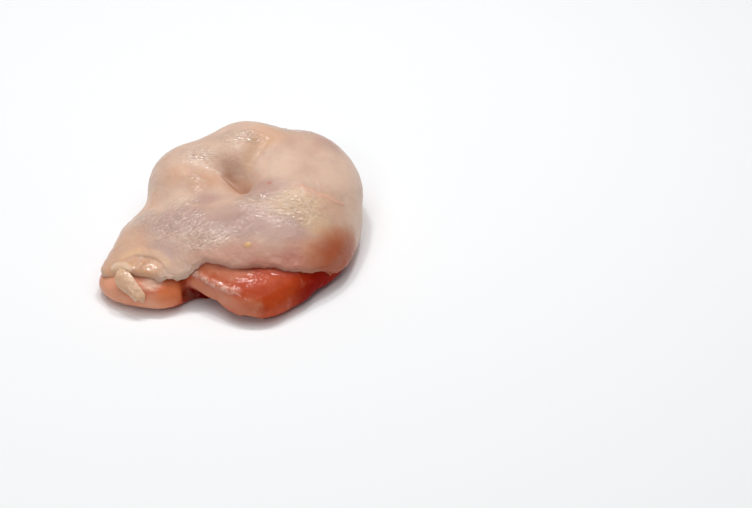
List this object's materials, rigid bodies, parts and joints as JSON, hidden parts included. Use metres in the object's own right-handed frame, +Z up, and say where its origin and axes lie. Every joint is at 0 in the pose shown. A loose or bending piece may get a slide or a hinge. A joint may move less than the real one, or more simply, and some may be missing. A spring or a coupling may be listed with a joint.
{
  "type": "raw boneless chicken thigh",
  "caption": "Raw boneless chicken thigh lying skin side up, its pale skin ending in a free hem over bare dark-meat muscles at the front.",
  "frame": {"origin": "on the resting surface, under the middle of the thigh's bounding box", "axes": "+Z up, -Y towards the front where the bare muscle shows, +X to the right along the longest side"},
  "size_m": [0.0986, 0.095, 0.036],
  "materials": {
    "meat": "wet gloss",
    "skin": "moist, soft gloss",
    "fat": "moist, soft gloss"
  },
  "bodies": {
    "root": {"thigh_meat": "meat", "thigh_skin": "skin", "fat_strand": "fat"}
  },
  "joints": []
}
